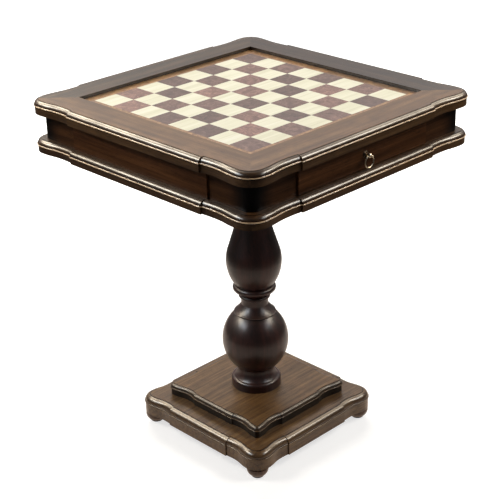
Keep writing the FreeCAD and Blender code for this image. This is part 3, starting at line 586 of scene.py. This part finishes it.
paint("dark_squares",
      burl("dark_burl", (78, 47, 40), (114, 79, 69), (150, 112, 98), SQUARE, variation=0.4))
border = burl("border_burl", (108, 72, 42), (148, 106, 64), (188, 146, 96), 4 * SQUARE, eyes=0.35)
for side in ALONG:
    paint("border_strip_" + side, border)
print("burl pieces finished:", 1 + len(ALONG))

# %% [markdown]
# ## Light veneer
# The light squares are a pale, straight-grained veneer, nearly without pores. Plain white would
# look like plastic. So they take the walnut's pattern in three close creams, under a thinner
# lacquer.

# %% Light squares
CREAM = dict(dark=(208, 206, 180), middle=(224, 222, 200), light=(232, 231, 214))
paint("light_squares", walnut("light_veneer", "x", pore_strength=0.06, coat=0.4, coat_roughness=0.2,
                              gloss=0.2, **CREAM))
print("light squares finished in the creams", list(CREAM.values()))

# %% [markdown]
# ## Metal
# The ring and its post are aged brass: brighter where hands rub it, brown in patches elsewhere.
# The plate behind them is dark bronze and the hidden screws are plated steel. Each could have its
# own pattern, but metal ages in the same patches whatever its colour, so one function takes two
# colours.

# %% Metal material
TARNISH = dict(scale=260.0, detail=3.0, roughness=0.6)
TARNISH_EDGE = (0.4, 0.62)
TARNISH_ROUGHNESS = 0.22
SCRATCHES_PER_METRE = 900.0
METAL_RELIEF = dict(strength=0.1, distance=0.00005)


def metal(name, worn, aged, roughness):
    material, tree = new_material(name)
    place = table_place(tree)
    patches = fade(tree, noise(tree, place, **TARNISH), *TARNISH_EDGE)
    rough = calc(tree, "ADD", calc(tree, "MULTIPLY", patches, TARNISH_ROUGHNESS), roughness)
    bump = add_bump(tree, noise(tree, place, SCRATCHES_PER_METRE), **METAL_RELIEF)
    add_surface(tree, Base_Color=mix_colour(tree, patches, rgb(worn), rgb(aged)), Roughness=rough,
                Metallic=1.0, Normal=bump)
    return material


brass = metal("aged_brass", (220, 206, 182), (156, 141, 117), 0.2)
bronze = metal("dark_bronze", (70, 58, 46), (36, 29, 23), 0.35)
steel = metal("plated_steel", (178, 178, 182), (128, 128, 132), 0.25)
METAL_NODES = {brass: ("pull_post", "pull_ring"),
               bronze: ("pull_backplate",),
               steel: ("pull_nut", "tie_rod", "tie_rod_nuts", "tie_rod_washers", "top_screws",
                       "bearer_screws", "base_screws", "foot_bolts")}
for material, names in METAL_NODES.items():
    for name in names:
        paint(name, material)
print("metal pieces finished:", sum(len(names) for names in METAL_NODES.values()))

# %% [markdown]
# ## Felt
# The drawer is lined with green felt and dark glides sit under the feet. Hairs could be grown on
# them, but at this size felt is only a dull, mottled surface, so a strong bump and a little sheen
# do.

# %% Felt material
FUZZ = dict(detail=4.0, roughness=0.7, distortion=0.5)
FUZZ_DARK, FUZZ_LIGHT = 0.35, 0.65
FELT_RELIEF = dict(strength=0.5, distance=0.0002)
FELT_SHEEN = dict(Roughness=0.95, Sheen_Weight=0.35, Specular_IOR_Level=0.1)


def felt(name, dark, light, fuzz_per_metre):
    material, tree = new_material(name)
    fuzz = noise(tree, table_place(tree), fuzz_per_metre, **FUZZ)
    colour = colour_ramp(tree, fuzz, [(FUZZ_DARK, rgb(dark)), (FUZZ_LIGHT, rgb(light))])
    add_surface(tree, Base_Color=colour, Normal=add_bump(tree, fuzz, **FELT_RELIEF), **FELT_SHEEN)
    return material


FELT_NODES = {"drawer_lining": felt("green_felt", (20, 48, 30), (36, 72, 46), 900.0),
              "foot_glides": felt("glide_felt", (20, 19, 18), (34, 32, 30), 700.0)}
for name, material in FELT_NODES.items():
    paint(name, material)
print("felt pieces finished:", len(FELT_NODES))

# %% [markdown]
# ## The plain woods inside
# The drawer's sides, its runners and the pieces that hold the table together are a pale wood
# without stain or lacquer. They could be left grey, as few of them are ever seen, but an open
# drawer shows them.

# %% Inside woods
PLAIN = dict(dark=(150, 116, 80), middle=(172, 138, 98), light=(190, 156, 114))
PLAIN_PLANK_STEP = 0.3
PLAIN_NODES = {"x": ("drawer_back", "column_bearer", "board_core", "case_bottom", "drawer_bottom",
                     "drawer_stops", "top_fixing_blocks", "mitre_splines"),
               "y": ("drawer_side_left", "drawer_side_right", "drawer_runner_left",
                     "drawer_runner_right", "drawer_kicker_left", "drawer_kicker_right")}
for along, names in PLAIN_NODES.items():
    for number, name in enumerate(names):
        paint(name, walnut("plain_" + name, along, plank=PLAIN_PLANK_STEP * number, coat=0.0,
                           coat_roughness=0.5, **PLAIN))
print("plain pieces finished:", sum(len(names) for names in PLAIN_NODES.values()))

# %% [markdown]
# ## The floor
# The table stands on white paper, so that nothing draws the eye from it. A lit white floor turns
# grey towards its edges. This one glows for the camera instead: less near the table, where its
# shadow has to show, and fully further out. In the lacquer the floor is a warm light near the
# table and dark far away.

# %% Floor
FLOOR_SIZE = 12.0
FLOOR_GREY = 0.45
WHITE = (1.0, 1.0, 1.0, 1.0)
WARM_FLOOR = (1.0, 0.74, 0.56, 1.0)
# Two distances from the middle of the floor in metres, then the strengths there.
CAMERA_GLOW = (0.3, 1.6, 0.68, 1.1)
MIRROR_GLOW = (0.7, 1.3, 0.6, 0.0)
MIRROR_DIMMING = (0.7, 1.3, 0.0, 0.85)


def add_floor():
    bpy.ops.mesh.primitive_plane_add(size=FLOOR_SIZE)
    floor = bpy.context.object
    floor.name = "floor"
    material, tree = new_material("white_floor")
    path = add_node(tree, "ShaderNodeLightPath").outputs
    seen, mirrored = path["Is Camera Ray"], path["Is Glossy Ray"]
    length = add_node(tree, "ShaderNodeVectorMath", {0: table_place(tree)}, operation="LENGTH")
    away = length.outputs["Value"]
    for_camera = calc(tree, "MULTIPLY", seen, fade(tree, away, *CAMERA_GLOW))
    for_lacquer = calc(tree, "MULTIPLY", mirrored, fade(tree, away, *MIRROR_GLOW))
    dimming = calc(tree, "MULTIPLY", mirrored, fade(tree, away, *MIRROR_DIMMING))
    brightness = calc(tree, "MULTIPLY", calc(tree, "SUBTRACT", 1.0, dimming), FLOOR_GREY)
    paper = add_node(tree, "ShaderNodeBsdfDiffuse", {"Color": grey(tree, brightness)})
    glow = add_node(tree, "ShaderNodeEmission",
                    {"Color": mix_colour(tree, mirrored, WHITE, WARM_FLOOR),
                     "Strength": calc(tree, "MAXIMUM", for_camera, for_lacquer)})
    both = add_node(tree, "ShaderNodeAddShader", {0: paper.outputs[0], 1: glow.outputs[0]})
    add_node(tree, "ShaderNodeOutputMaterial", {"Surface": both.outputs[0]})
    floor.data.materials.append(material)
    return floor


print("floor of", round(add_floor().dimensions.x, 1), "m")

# %% [markdown]
# ## The lamps
# Two soft lamps, high up to the left and to the right of the table, and a wide one behind it
# light the wood, so the corner nearest to the camera stays dark. A moulding shows its shape by
# what it mirrors. The soft lamps could be made brighter until their mirror images show, but then
# the wood would be too light. So there are lamps that only show in the lacquer: two glints for
# the bright lines along the rails, two high ones for the round ovolos, and two low, cool ones for
# the column. Each stands in a place of its own, because lamps that share a place dim each other
# and make the render speckle.

# %% Lamps
WARM, AMBER, COOL = (1.0, 0.95, 0.87), (1.0, 0.87, 0.66), (0.84, 0.93, 1.0)
AIM = Vector((0.0, 0.0, 0.5))
# Place, width and height, brightness, colour, whether it lights the wood, whether it is mirrored.
LAMPS = {"left_lamp": ((-1.5, 1.35, 2.15), (1.0, 0.9), 15.0, WARM, True, True),
         "left_glint": ((-1.3, 1.75, 2.1), (1.3, 0.6), 20.0, AMBER, False, True),
         "left_high": ((0.1, 1.7, 2.05), (1.2, 0.7), 15.0, AMBER, False, True),
         "left_low": ((-1.45, 0.45, 1.5), (0.9, 0.5), 16.0, COOL, False, True),
         "right_lamp": ((1.3, -1.5, 2.15), (1.0, 0.9), 14.0, WARM, True, True),
         "right_glint": ((1.75, -1.3, 2.1), (1.3, 0.6), 13.0, AMBER, False, True),
         "right_high": ((1.7, 0.1, 2.05), (1.2, 0.6), 6.0, AMBER, False, True),
         "right_low": ((0.5, -1.5, 1.45), (0.7, 0.4), 7.0, COOL, False, True),
         "back_lamp": ((1.5, 2.0, 1.3), (2.6, 1.4), 12.0, WARM, True, False)}


def add_lamp(name, place, size, brightness, colour, lights, mirrored):
    """Area lamp as bright as this in a reflection; its power follows from its size."""
    data = bpy.data.lights.new(name, "AREA")
    data.shape = "RECTANGLE"
    data.size, data.size_y = size
    data.energy = brightness * math.pi * size[0] * size[1]
    data.color = colour
    lamp = bpy.data.objects.new(name, data)
    bpy.context.collection.objects.link(lamp)
    lamp.location = place
    lamp.rotation_euler = (AIM - Vector(place)).to_track_quat("-Z", "Y").to_euler()
    lamp.visible_camera = False
    lamp.visible_diffuse = lights
    lamp.visible_glossy = mirrored


for name, settings in LAMPS.items():
    add_lamp(name, *settings)
print("lamps:", len(LAMPS))

# %% [markdown]
# ## The world
# The background is white for the camera. If it were as white in the lacquer, every rail would
# look milky. So for reflections it is bright only high up behind the table and dim elsewhere, and
# for all other light it is a faint fill.

# %% World
TOWARDS_BACK = (0.7, 0.7, 0.1)
# Two values of how far a direction points back or up, then the strengths there.
BACK_GLOW = (-0.2, 0.7, 0.05, 1.0)
SKY_GLOW = (0.2, 0.42, 0.3, 0.9)
FILL = 0.09


def add_world():
    world = bpy.data.worlds.new("studio")
    world.use_nodes = True
    tree = world.node_tree
    tree.nodes.clear()
    path = add_node(tree, "ShaderNodeLightPath").outputs
    direction = add_node(tree, "ShaderNodeTexCoord").outputs["Generated"]
    back = add_node(tree, "ShaderNodeVectorMath", {0: direction, 1: TOWARDS_BACK},
                    operation="DOT_PRODUCT").outputs["Value"]
    up = split(tree, direction)[2]
    reflected = calc(tree, "MULTIPLY", fade(tree, back, *BACK_GLOW), fade(tree, up, *SKY_GLOW))
    glossy = calc(tree, "MULTIPLY", path["Is Glossy Ray"], reflected)
    strength = calc(tree, "MAXIMUM", calc(tree, "MAXIMUM", path["Is Camera Ray"], glossy), FILL)
    background = add_node(tree, "ShaderNodeBackground", {"Color": WHITE, "Strength": strength})
    add_node(tree, "ShaderNodeOutputWorld", {"Surface": background.outputs[0]})
    bpy.context.scene.world = world


add_world()
bpy.context.scene.view_settings.view_transform = "Standard"
print("world:", bpy.context.scene.world.name)
